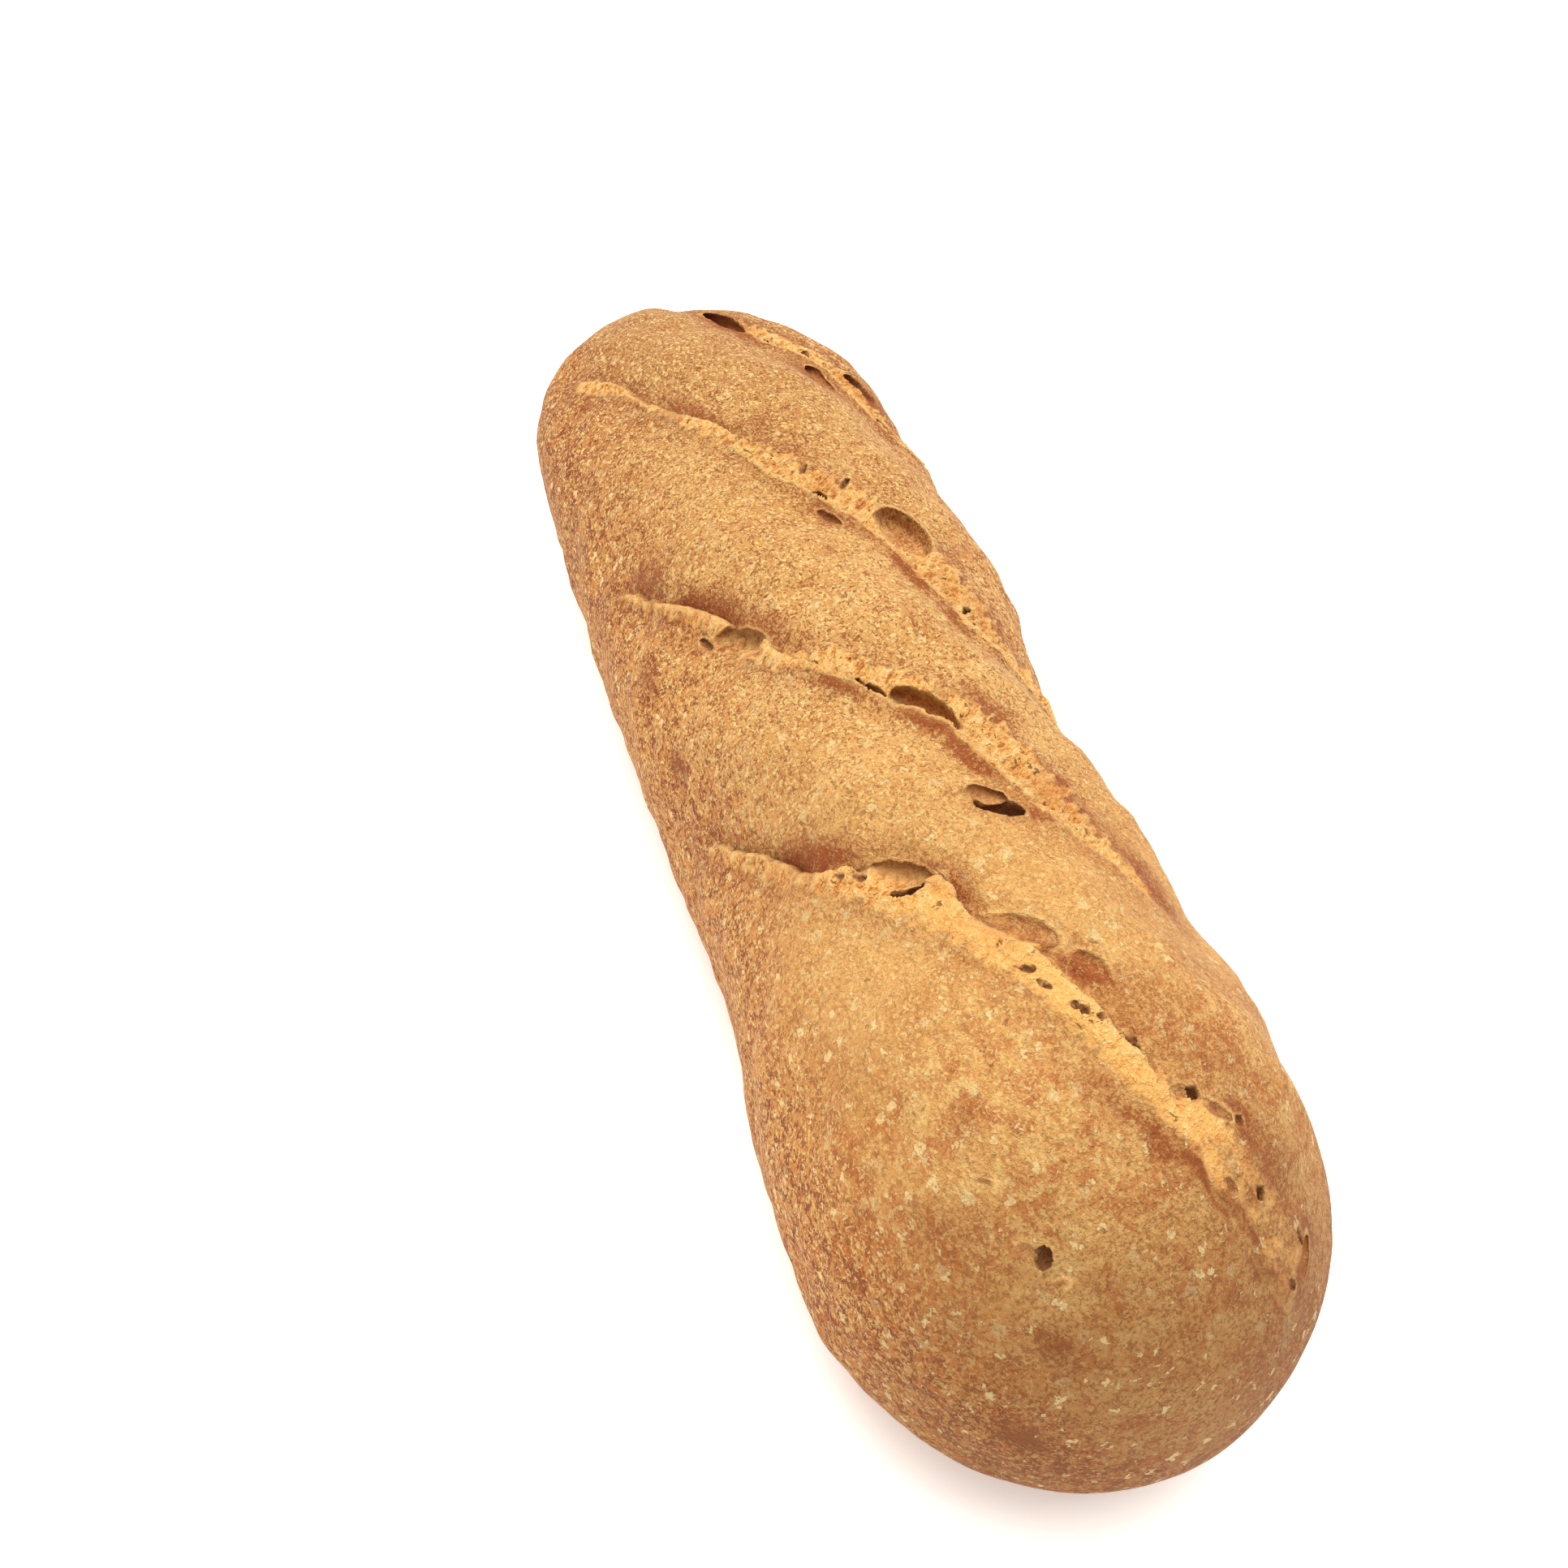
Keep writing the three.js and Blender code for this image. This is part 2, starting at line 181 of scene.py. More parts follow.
def from_slash(track, x, skin):
    """The nearest distance to a slash's line, the signed distance across it (positive on the
    far side), and the slash's values there."""
    start, run = track[:-1, :2], np.diff(track[:, :2], axis=0)
    nearest, across = np.full(x.shape, FAR_OFF), np.zeros(x.shape)
    values = np.zeros(x.shape + (track.shape[1] - 2,))
    close = (x > track[:, 0].min() - SLASH_REACH) & (x < track[:, 0].max() + SLASH_REACH)
    px, py = x[close], skin[close]
    near_gap, near_across, near_values = nearest[close], across[close], values[close]
    for i, (origin, step) in enumerate(zip(start, run)):
        part = ((px - origin[0]) * step[0] + (py - origin[1]) * step[1]) / (step @ step)
        part = np.clip(part, 0, 1)
        ox, oy = px - origin[0] - part * step[0], py - origin[1] - part * step[1]
        gap = np.hypot(ox, oy)
        side = np.sign(step[0] * oy - step[1] * ox)
        nearer = gap < near_gap
        near_gap[nearer] = gap[nearer]
        near_across[nearer] = (gap * side)[nearer]
        part = part[nearer, None]
        near_values[nearer] = track[i, 2:] * (1 - part) + track[i + 1, 2:] * part
    nearest[close], across[close], values[close] = near_gap, near_across, near_values
    return nearest, across, values


# Open bubbles: x, angle, length and width of the mouth, its turn, depth, how far the floor
# slips under the far rim, and how dark it is inside: how far the rim overhangs, how much
# of the floor's own colour shows and how much painted shade lies on the back wall.
BUBBLES = [
    (-92.5, 16.5, 15, 8, 12, 6.0, 3.0, 0.9), (-70, 56, 9, 4, 25, 3.4, 1.5, 0.8),
    (-66, 35, 11, 5, 8, 1.6, 0.8, 0.4), (-79, 41, 3.4, 1.6, -30, 1.2, 0.3, 0.5),
    (-83, 28.5, 3.6, 1.8, -35, 1.0, 0.3, 0.4), (-57, 54, 9, 5, 40, 2.0, 0.8, 0.4),
    (-26.3, 5, 3.4, 2.6, 15, 2.6, 0.8, 0.8), (-18.6, 2.8, 5.4, 2.6, 28, 1.0, 0.4, 0.4),
    (-41, -11.8, 4.6, 1.4, 18, 1.4, 0.4, 0.7), (-15, 24.5, 14, 11.4, -15, 3.0, 2.2, 0.3),
    (-28.3, 14.3, 4.0, 1.1, -45, 1.5, 0.3, 0.6), (-33.4, 3.6, 2.6, 0.8, -50, 1.2, 0.2, 0.6),
    (3.6, 29.6, 8, 1.2, -66, 2.0, 0.5, 0.7), (6, 33.5, 4.4, 1.0, -62, 1.5, 0.3, 0.6),
    (1.6, -37.3, 12.6, 6.0, 54, 2.8, 1.8, 0.34), (-2.4, -45.2, 4, 1.7, 15, 1.2, 0.3, 0.5),
    (5.2, -33.2, 3.6, 1.6, 50, 0.8, 0.2, 0.3), (19.8, -13.2, 3.6, 1.3, 36, 1.6, 0.4, 0.9),
    (22.3, -8.4, 3.6, 1.3, 30, 1.4, 0.3, 0.8), (20.6, -11.2, 2.6, 1.0, 10, 1.6, 0.3, 0.9),
    (28, 0.4, 11.8, 4.6, 36, 3.0, 1.2, 0.48), (47.2, 1.2, 5.8, 3.4, 60, 1.8, 0.5, 0.6),
    (49.4, 3.4, 6.2, 2.7, 66, 3.6, 0.6, 0.9), (54.0, -22, 11.5, 5.4, 56, 3.0, 1.6, 0.4),
    (57.4, -20.5, 4.2, 1.5, 75, 2.8, 0.3, 0.9), (51.2, -28.6, 1.6, 0.7, 60, 1.0, 0.1, 0.7),
    (50.2, -32, 1.2, 0.6, 60, 0.7, 0.1, 0.7), (68.0, -7.5, 12, 4.4, 52, 1.3, 0.5, 0.2),
    (75.6, 3.2, 6, 3.0, 20, 1.0, 0.4, 0.2), (74, -8, 2.2, 0.8, 60, 1.1, 0.1, 0.7),
    (76.6, -6.4, 2.0, 0.6, 30, 0.8, 0.1, 0.6), (80.2, -3.3, 0.9, 0.8, 0, 1.0, 0.1, 1.0),
    (81, -2.4, 1.1, 0.8, 30, 1.0, 0.1, 1.0), (82.3, 0, 0.9, 0.7, 30, 0.8, 0.1, 0.8),
    (84.4, 2.2, 1.4, 0.8, 60, 1.0, 0.1, 0.8), (85.0, 4.2, 1.2, 0.8, 60, 0.9, 0.1, 0.8),
    (85.9, 4.4, 1.0, 0.8, 40, 0.9, 0.1, 0.9), (92, 10.9, 1.3, 1.5, 0, 2.4, 0.4, 0.9),
    (91.6, 8.6, 1.6, 1.8, 60, 0.7, 0.2, 0.3), (95.3, 19.4, 1.2, 1.4, 40, 1.1, 0.2, 0.7),
    (94.0, 15, 4, 1.6, 60, 0.6, 0.1, 0.3), (101.2, 13.8, 1.8, 1.1, 40, 0.8, 0.1, 0.5),
    (101.8, 22, 1.2, 1.7, 0, 2.6, 0.3, 0.95), (105.2, 36.7, 2.4, 0.8, 60, 1.8, 0.2, 0.9),
    (109, 35.6, 2.4, 0.8, 80, 1.5, 0.2, 0.9), (107.3, 40.5, 5, 3.4, 0, 0.8, 0.3, 0.4),
    (102.4, -28, 1.7, 2.3, 20, 2.4, 0.4, 0.85), (101.3, -30, 2.4, 1.6, 40, 0.6, 0.2, 0.3),
    (104.9, -28.4, 3.2, 0.9, 85, 0.5, 0.1, 0.2), (93.9, -30.7, 2.6, 0.7, 50, 0.5, 0.1, 0.3),
]


def oval(ox, oy, length, width, turn):
    """How far out offsets lie in an oval turned by degrees: 0 in the middle, 1 on its edge."""
    c, s = np.cos(np.radians(turn)), np.sin(np.radians(turn))
    return np.hypot((ox * c + oy * s) / (length / 2), (-ox * s + oy * c) / (width / 2))


# The skin is first laid out flat, as a sheet of station by angle: rings evenly apart over the
# outline, columns by angle, then finer cuts within reach of a slash or a bubble.
SHEET_STEP = 1.25       # between rings, and between columns over the top
SOLE_STEP = 3           # between columns underneath
TOP_ANGLE = 96          # the finer columns reach this far down both sides
FINE_REACH = 1.5        # how far past a slash or bubble the finer cuts go
FINE_CUTS = 3


def even_stations():
    """Stations whose rings lie one step apart along the loaf's outline, tips included."""
    share = np.sin(np.linspace(-np.pi / 2, np.pi / 2, 4001))
    x = share * LENGTH / 2
    out = end_cap(share) * HALF_WIDTH
    run = np.concatenate([[0], np.cumsum(np.hypot(np.diff(x), np.diff(out)))])
    return np.interp(np.linspace(0, run[-1], round(run[-1] / SHEET_STEP) + 1), run, x)


def lay_sheet():
    """The flat skin, with x as station and y as angle, its seam under the sole."""
    stations = even_stations()
    top_columns = round(2 * across_skin(TOP_ANGLE) / SHEET_STEP) + 1
    sole_columns = round(across_skin(360 - 2 * TOP_ANGLE) / SOLE_STEP) + 1
    top = np.linspace(-TOP_ANGLE, TOP_ANGLE, top_columns)
    below = np.linspace(TOP_ANGLE, 360 - TOP_ANGLE, sole_columns)
    seam = len(below) // 2
    angles = np.concatenate([below[seam:] - 360, top[1:-1], below[:seam + 1]])
    sheet = bmesh.new()
    grid = [[sheet.verts.new((s, a, 0)) for a in angles] for s in stations]
    for row, following in zip(grid, grid[1:]):
        for i in range(len(angles) - 1):
            sheet.faces.new((row[i], following[i], following[i + 1], row[i + 1]))
    x, angle = np.array([v.co[:2] for v in sheet.verts]).T
    skin = across_skin(angle)
    fine = np.zeros(len(x), bool)
    for track in map(slash_track, SLASHES):
        gap, _, values = from_slash(track, x, skin)
        fine |= gap < values[:, 0] + FINE_REACH
    for bx, ba, length, width, *_ in BUBBLES:
        fine |= np.hypot(x - bx, skin - across_skin(ba)) < max(length, width) / 2 + FINE_REACH
    sheet.verts.index_update()
    chosen = [f for f in sheet.faces if any(fine[v.index] for v in f.verts)]
    edges = {e for f in chosen for e in f.edges}
    bmesh.ops.subdivide_edges(sheet, edges=list(edges), cuts=FINE_CUTS, use_grid_fill=True)
    return sheet


sheet = lay_sheet()
x, angle = np.array([v.co[:2] for v in sheet.verts]).T
skin = across_skin(angle)
smooth = wrap(x, angle, 0)


def grain(points, size, seed):
    """Soft noise of a grain size in millimetres, from -1 to 1, at points in space."""
    shift = Vector((seed * 17.3, seed * 5.9, seed * 9.1))
    return np.array([noise.noise(Vector(p) / size + shift) for p in points])


# The skin at large: dimples (size, depth, seed), long slow lumps (length, girth, height), and
# broad swellings and dips where the dough bulged or sank (x, angle, spread, height).
DIMPLES = [(9, 0.22, 5), (4, 0.1, 6), (2, 0.06, 7)]
LUMPS = [(61, 74, 0.55), (37, 41, 0.4), (23, 29, 0.3), (14, 17, 0.2)]
SWELLINGS = [
    (-14, 62, 15, 1.4), (27, 48, 8, -0.3), (49, 46, 7, 1), (-80, 60, 14, 0.9), (42, 48, 13, 1),
    (73, 48, 9, 0.8), (-54, -100, 16, -0.8), (-50, 64, 9, 2.2), (17, 64, 10, 2.0),
]
relief = sum(depth * grain(smooth, size, seed) for size, depth, seed in DIMPLES)
for number, (length, girth, size) in enumerate(LUMPS):
    wave = np.sin(2 * np.pi * x / length + number * 1.7)
    relief += size * wave * np.cos(2 * np.pi * skin / girth + wave + number)
for sx, sa, spread, size in SWELLINGS:
    relief += size * bell(np.hypot(x - sx, skin - across_skin(sa)) / spread)

# The knife never runs quite straight and torn dough is ragged, so the slashes are read at
# places shifted a little by noise.
SWAY, SWAY_SIZE = 0.6, 4
FRAY, FRAY_SIZE = 0.45, 1.3
sway_x, sway_skin = grain(smooth, SWAY_SIZE, 1), grain(smooth, SWAY_SIZE, 3)
fray = grain(smooth, FRAY_SIZE, 2)
ragged_x = x + SWAY * sway_x + FRAY * fray
ragged_skin = skin + SWAY * sway_skin + FRAY * grain(smooth, FRAY_SIZE, 4)

# Across a slash the near side stands proud as a lip that leans over the crack, and the far
# side starts low and climbs. The crumb shows between the two edges of the band: it stops
# sharply at the crack and frays out in threads at the other edge.
NARROWEST = 0.3         # half width of the thinnest tear
END_FADE = 2            # how far past its last station a slash dies out
WALL = 0.6              # width of the step down into the crack
LIP_RUN = 3             # from the crack back over the lip, at the least
DIP_RUN = 4.5           # from the crack up the far side, at the least
DIP_POWER = 1.4
LEAN = 0.8              # how far a lip leans over its crack
LEAN_FROM = 0.6         # a lip this high leans in full
SHARP_RUN = 0.5         # over which the crumb stops at the crack
FRAY_RUN = 3.6          # and over which it frays out, at the most
CRUMB_SEEN = 0.01       # a place counts as crumb above this

# Where the leaning, the pale rim with its painted highlight and the line of painted shade
# lie across the crack, and their spread
LEANING, PALE_RIM_AND_HIGHLIGHT, CRACK_SHADE_LINE = (-0.2, 0.6), (-0.25, 0.4), (0.35, 0.45)

# Threads and strands of crumb: thickness and length, and how far the threads fray the edge.
# The last slash tore less: its edge is calmer, its crumb smoother and then covered by crust.
THREAD, STRAND, FINE_STRAND = (1.1, 5), (0.9, 2.6), (0.4, 1.3)
THREADS_OUT, LAST_THREADS_OUT = 2.6, 1.2
LAST_SMOOTH_FROM, LAST_SMOOTH_RUN = 50, 4
LAST_COVER_FROM, LAST_COVER_RUN, LAST_COVER = 92, 6, 0.55
THIN_GAPS = 0.6         # how far a thin tear is broken up


def at_crack(beyond, middle, spread):
    """A line along the crack, given the distance beyond it."""
    return bell((beyond - middle) / spread)


def pulled_out(along, across, layer, size, seed):
    """Noise in threads that lie across a slash, as torn dough is drawn."""
    return grain(np.stack([along / size[0], across / size[1], 0 * along + layer], -1), 1, seed)


def band_edge(inside, sharp, loose, run):
    """How much crumb shows at a distance inside an edge of the band."""
    return sharp * rise(inside / SHARP_RUN) + (1 - sharp) * rise((inside + loose) / run)


nearest = np.full(x.shape, FAR_OFF)
torn, pale_rim_and_highlight, crack, fibres, slide_x, slide_skin = (np.zeros(x.shape) for _ in range(6))
for number, track in enumerate(map(slash_track, SLASHES)):
    last = number == len(SLASHES) - 1
    gap, across, values = from_slash(track, ragged_x, ragged_skin)
    half, depth, place, lift, run_x, run_skin, along = values.T
    half = np.maximum(half, NARROWEST)
    nearest = np.minimum(nearest, np.maximum(gap - half, 0))
    kept = 1 - rise(np.sqrt(np.maximum(gap**2 - across**2, 0)) / END_FADE)

    edge = place * half
    beyond = across - edge
    near_run = np.maximum(edge + half, LIP_RUN)
    far_run = np.maximum(half - edge, DIP_RUN)
    proud = lift * (1 - rise(-beyond / near_run))
    low = -depth * np.clip(1 - beyond / far_run, 0, 1) ** DIP_POWER
    over = rise(beyond / WALL + 0.5)
    relief += kept * ((1 - over) * proud + over * low)
    lean = kept * LEAN * rise(lift / LEAN_FROM) * at_crack(beyond, *LEANING)
    slide_x -= lean * run_skin
    slide_skin += lean * run_x

    near_band = gap < half + 4
    threads = np.zeros(x.shape)
    threads[near_band] = pulled_out(along[near_band], across[near_band], number, THREAD, 16)
    threads_out = LAST_THREADS_OUT if last else THREADS_OUT
    loose = 1 + 1.2 * fray + threads_out * threads * rise((half - 1.5) / 2)
    fray_run = np.minimum(FRAY_RUN, half + 1)
    near_edge = band_edge(across + half, rise(-2 * place - 0.2), loose, fray_run)
    far_edge = band_edge(half - across, rise(2 * place - 0.6), loose, fray_run)

    on_line = np.stack([along, 0 * along, 0 * along + number], -1)
    broken = rise(0.5 + 1.6 * grain(on_line, 3, 12))
    flecked = rise(0.5 + 1.5 * grain(on_line, 1.4, 15))
    thin = THIN_GAPS * (1 - rise((half - 1) / 1.5))
    covered = LAST_COVER * rise((x - LAST_COVER_FROM) / LAST_COVER_RUN) if last else 0
    crumb_here = kept * rise(depth / 0.5) * (1 - thin * (1 - flecked * broken)) * (1 - covered)
    torn = np.maximum(torn, near_edge * far_edge * crumb_here)
    # A pale rim just past the crack, partly the torn edge's own colour and partly a painted
    # highlight
    rim_here = kept * rise(depth / 0.8) * at_crack(beyond, *PALE_RIM_AND_HIGHLIGHT)
    pale_rim_and_highlight = np.maximum(pale_rim_and_highlight, rim_here * (1 - thin * (1 - flecked)))
    # A line of painted shade down the crack, broken along its length
    line_here = kept * at_crack(beyond, *CRACK_SHADE_LINE) * rise((depth - 0.3) / 1.2)
    crack = np.maximum(crack, line_here * broken)

    crumb = torn > CRUMB_SEEN
    this_band = (gap < half + 3)[crumb]
    strands = 0.5 * pulled_out(along[crumb], across[crumb], 9 * number, STRAND, 13)
    strands += 0.6 * pulled_out(along[crumb], across[crumb], 9 * number, FINE_STRAND, 14)
    calmer = rise((x[crumb] - LAST_SMOOTH_FROM) / LAST_SMOOTH_RUN) if last else 0
    strands = strands * (1 - 0.6 * calmer) + 0.05 * calmer
    fibres[crumb] = np.where(this_band, strands, fibres[crumb])

# Between the slashes the dough domed up, over the top only.
DOME_RISE = 2
DOME_REACH = 15
over_top = rise(1.35 - np.abs(angle) / 90)
relief += over_top * DOME_RISE * (rise(nearest / DOME_REACH) - 0.5)

# Torn crumb is open cells between thin walls, with a softer unevenness under them.
CELL_SIZE = 1.7
CELL_WALL = 0.55


def crumb_cells(points, size, seed):
    """Torn crumb: 0 in the middle of an open cell, 1 on the walls between cells."""
    shift = Vector((seed * 11.1, seed * 3.7, seed * 7.9))
    gaps = [noise.voronoi(Vector(p) / size + shift)[0] for p in points]
    return 1 - rise(np.array([g[1] - g[0] for g in gaps]) / CELL_WALL)


crumb = torn > CRUMB_SEEN
cells = crumb_cells(smooth[crumb], CELL_SIZE, 10) - 0.5
fibres[crumb] += 0.3 * grain(smooth[crumb], 3, 8) + 0.35 * cells

# An open bubble draws the skin inside its mouth out over the wall of an egg that is wider
# than the mouth and slips under the far rim. On the near side the floor climbs gently.
# Distances in it are shares of the mouth: out from its middle, and inward from its rim.
BULGE = 0.22            # how much wider than its mouth a dark bubble is
PUNCTURE = 3            # a mouth narrower than this is a plain hole
FAR_WAY = (-0.6, 0.8)   # over the skin, away from the camera
RIM_RISE = 0.3          # how far the far rim stands up
pocket, back_wall_shade = np.zeros(x.shape), np.zeros(x.shape)
for bx, ba, length, width, turn, depth, slip, dark in BUBBLES:
    ox, oy = x - bx, skin - across_skin(ba)
    mouth = np.hypot(ox, oy) < max(length, width) + 2
    ox, oy, spots = ox[mouth], oy[mouth], smooth[mouth]
    small, size = width < PUNCTURE, max(width, 1)
    wobble = 0.12 * grain(spots, size * 0.6, bx) + 0.1 * grain(spots, size * 0.25, bx + 1)
    out = oval(ox, oy, length, width, turn) * (1 + wobble)
    inward = np.clip(1 - out, 0, 1)
    far_reach = 1 / oval(*FAR_WAY, length, width, turn)
    towards_far = (ox * FAR_WAY[0] + oy * FAR_WAY[1]) / far_reach
    far_side = rise(towards_far + 0.4)
    straight_down = small and dark > 0.7
    under = np.ones(ox.shape) if straight_down else far_side * min(1, 2.5 * dark)

    bulge = 1 + BULGE * min(1, dark * 1.3)
    rim_turn = np.arcsin(1 / bulge)
    arc = rim_turn + inward * (np.pi - rim_turn)
    egg = (np.cos(rim_turn) - np.cos(arc)) / (1 + np.cos(rim_turn))
    climb = inward * rise(0.9 + 0.5 * towards_far)
    share = under * egg + (1 - under) * rise(climb)
    wider = bulge * np.sin(arc) / np.maximum(out, 1e-3) - 1
    spread = 1 + under * np.where(out < 1, wider, 0)

    calm = rise(inward * 5)
    slide_x[mouth] *= 1 - calm
    slide_skin[mouth] *= 1 - calm
    if not small:
        rim = (out > 0.95) & (out < 1.15)
        relief[mouth] += calm * (relief[mouth][rim].mean() - relief[mouth])
    slide_x[mouth] += (spread - 1) * ox + slip * share * FAR_WAY[0]
    slide_skin[mouth] += (spread - 1) * oy + slip * share * FAR_WAY[1]
    relief[mouth] -= depth * share
    relief[mouth] += RIM_RISE * under * min(1, depth / 3) * bell((out - 1.06) * size / 1.2)

    # Where the mouth shows its floor, and the painted shade on the back wall under the far rim
    if small:
        shown, shade, facing = rise(inward * 6), rise(share * 3), 1
    else:
        shown = rise(inward * (1.5 + 4.5 * under)) * rise((towards_far + 0.7) / 1.3)
        shade = under * rise(inward / 0.06) * (1 - rise((inward - 0.1) / 0.35))
        facing = rise(towards_far / 0.7)
    # The far rim is pale, partly its own colour and partly a painted highlight
    far_rim_pale_and_highlight = (1 - 0.4 * dark) * far_side * bell((out - 1.04) * size / 0.5)
    pocket[mouth] = np.maximum(pocket[mouth], shown * min(1, dark * 1.5))
    back_wall_shade[mouth] = np.maximum(back_wall_shade[mouth], dark * shade * facing)
    pale_rim_and_highlight[mouth] = np.maximum(pale_rim_and_highlight[mouth], far_rim_pale_and_highlight)
    torn[mouth] *= 1 - 0.85 * shown

relief += 0.6 * torn * fibres

# Crust is browner along the slashes and in patches of its own, partly where it baked
# browner and partly painted shade where it dips to a crack or lies below a raised step:
# x, angle, length, width, turn, strength.
BROWNING_AND_SHADE_PATCHES = [
    (43, -40, 12, 6, 50, 0.8), (58, -13.5, 9, 4, 15, 0.7), (46, -31, 10, 4, 40, 0.4),
    (33, 0, 14, 3, 32, 0.9), (41, 4, 8, 2, 20, 0.6), (21, -15, 10, 2.6, 42, 0.6),
    (2, -27, 12, 5, 35, 0.5), (-9, -41, 16, 6, 48, 0.7), (-24, -55, 10, 7, 45, 0.5),
    (-7, -66, 5, 6, 70, 0.6), (10, -69, 4, 6, 80, 0.6), (-57, -23, 16, 6, 38, 0.45),
    (-48, -4, 8, 6, 30, 0.45), (-38, 3, 5, 8, 60, 0.4), (-4, 18.5, 10, 3.4, 8, 1.0),
    (9, 23.5, 9, 2.5, 10, 0.6), (-19, 2.5, 8, 4, 25, 0.7), (-28, 10, 6, 4, 40, 0.4),
    (-14, 14, 10, 3, 40, 0.4), (-10, 38, 18, 6, -40, 0.3), (30, 17, 9, 6, 10, 0.5),
    (43, 23, 10, 5, 10, 0.5), (60, 34, 14, 6, 10, 0.6), (57, 20.5, 9, 2, 20, 0.6),
    (69, -8, 12, 5, 52, 0.35), (74.5, 1.5, 8, 4, 20, 0.3), (77, 4, 8, 3, 40, 0.4),
    (65, -12, 12, 2, 20, 0.4), (92, -3, 12, 3, 35, 0.5), (96.5, 1.2, 3, 2, 45, 0.8),
    (100.5, 9, 8, 1.6, 45, 0.9), (104.5, 15.5, 8, 1.6, 60, 0.9), (108.5, 25, 9, 1.6, 70, 0.8),
    (95, 20, 5, 3, 50, 0.5), (86, 16, 22, 9, 35, 0.4), (99, 30, 9, 7, 60, 0.35),
    (106.5, 41, 7, 5, 0, 0.8), (108.8, -36, 4, 5, 0, 0.7), (112, -71, 3, 8, 0, 0.7),
    (96, -42, 10, 8, 30, 0.3), (87.5, -29, 5, 3, -20, 0.4), (-92, 16, 20, 13, 12, 0.7),
    (-66, 32, 16, 9, 8, 0.7), (-57, 54, 12, 9, 40, 0.6), (-70, 56, 13, 8, 25, 0.7),
    (51.5, 11, 8, 2, 70, 0.5), (49, 2, 11, 6, 64, 0.25), (2, 37, 20, 9, 50, 0.55),
    (46, 20, 16, 8, 40, 0.6), (76, 30, 24, 10, 45, 0.3),
]
PATCH_SWAY = 1.2       # how far noise shifts a patch's edge
browning_and_shade = 0.25 * bell(nearest / 3) * (1 - torn)
for sx, sa, length, width, turn, strength in BROWNING_AND_SHADE_PATCHES:
    ox = x - sx + PATCH_SWAY * sway_x
    oy = skin - across_skin(sa) + PATCH_SWAY * sway_skin
    browning_and_shade += strength * bell(oval(ox, oy, length, width, turn) ** 1.3)
browning_and_shade = np.minimum(1.2 * browning_and_shade, 1)

# The sheet is wrapped round the bar, closed along its seam and tips, and carries what the
# crust and crumb need to know about each place.
PER_METRE = 1000        # millimetres
stations = np.clip(x + slide_x, -LENGTH / 2, LENGTH / 2)
turned = angle + np.degrees(slide_skin / SKIN_RADIUS)
points = wrap(stations, turned, relief)
for vert, point in zip(sheet.verts, points / PER_METRE):
    vert.co = point
masks = {"torn": torn, "pale_rim_and_highlight": pale_rim_and_highlight, "crack": crack, "pocket": pocket, "back_wall_shade": back_wall_shade,
         "browning_and_shade": browning_and_shade, "fibres": fibres, "station": x, "from_top": np.abs(angle)}
layers = {name: sheet.verts.layers.float.new(name) for name in masks}
for vert, *values in zip(sheet.verts, *masks.values()):
    for layer, value in zip(layers.values(), values):
        vert[layer] = value
bmesh.ops.remove_doubles(sheet, verts=sheet.verts, dist=1e-6)
bmesh.ops.recalc_face_normals(sheet, faces=sheet.faces)
loaf_mesh = bpy.data.meshes.new("baked_loaf")
sheet.to_mesh(loaf_mesh)
sheet.free()
loaf_mesh.polygons.foreach_set("use_smooth", [True] * len(loaf_mesh.polygons))
baked_loaf = bpy.data.objects.new("baked_loaf", loaf_mesh)
bpy.context.scene.collection.objects.link(baked_loaf)


class Wire:
    """A socket of a node tree that can stand in a Python expression."""
    tree = None

    def __init__(self, socket):
        self.socket = socket

    @classmethod
    def node(cls, kind, settings, sockets, output=0):
        """The output of a new node, made with these settings and then these sockets."""
        made = cls.tree.nodes.new(kind)
        for name, value in settings.items():
            setattr(made, name, value)
        for name, value in sockets.items():
            if isinstance(value, Wire):
                cls.tree.links.new(value.socket, made.inputs[name])
            else:
                made.inputs[name].default_value = value
        return cls(made.outputs[output])

    @classmethod
    def maths(cls, operation, *values):
        return cls.node("ShaderNodeMath", {"operation": operation}, dict(enumerate(values)))

    def __add__(self, other):
        return Wire.maths("ADD", self, other)

    def __sub__(self, other):
        return Wire.maths("SUBTRACT", self, other)

    def __rsub__(self, other):
        return Wire.maths("SUBTRACT", other, self)

    def __mul__(self, other):
        return Wire.maths("MULTIPLY", self, other)

    __radd__ = __add__
    __rmul__ = __mul__

    def span(self, low, high):
        """0 at low, 1 at high, smooth between."""
        return Wire.node("ShaderNodeMapRange", {"interpolation_type": "SMOOTHSTEP"},
                         {"Value": self, "From Min": low, "From Max": high})


def mix(under, over, mask):
    """One colour over another, as far as the mask says."""
    factor, first, second, result = 0, 6, 7, 2
    return Wire.node("ShaderNodeMix", {"data_type": "RGBA"},
                     {factor: mask, first: under, second: over}, result)


# How many times over the room lights a plain white surface that faces up
ROOM_LIGHT = 1.5


def seen(red, green, blue):
    """The finish that looks this colour, in display values out of 255, in the room's light."""
    return [((v / 255 + 0.055) / 1.055) ** 2.4 / ROOM_LIGHT for v in (red, green, blue)] + [1]


def painted(name):
    """What the skin carries under this name."""
    factor = 2
    return Wire.node("ShaderNodeAttribute", {"attribute_name": name}, {}, factor)


def scaled(places, times):
    """Places further from the origin by this factor."""
    return Wire.node("ShaderNodeVectorMath", {"operation": "SCALE"}, {0: places, "Scale": times})


def shifted(places, by):
    """Places moved by an offset."""
    return Wire.node("ShaderNodeVectorMath", {"operation": "ADD"}, {0: places, 1: by})


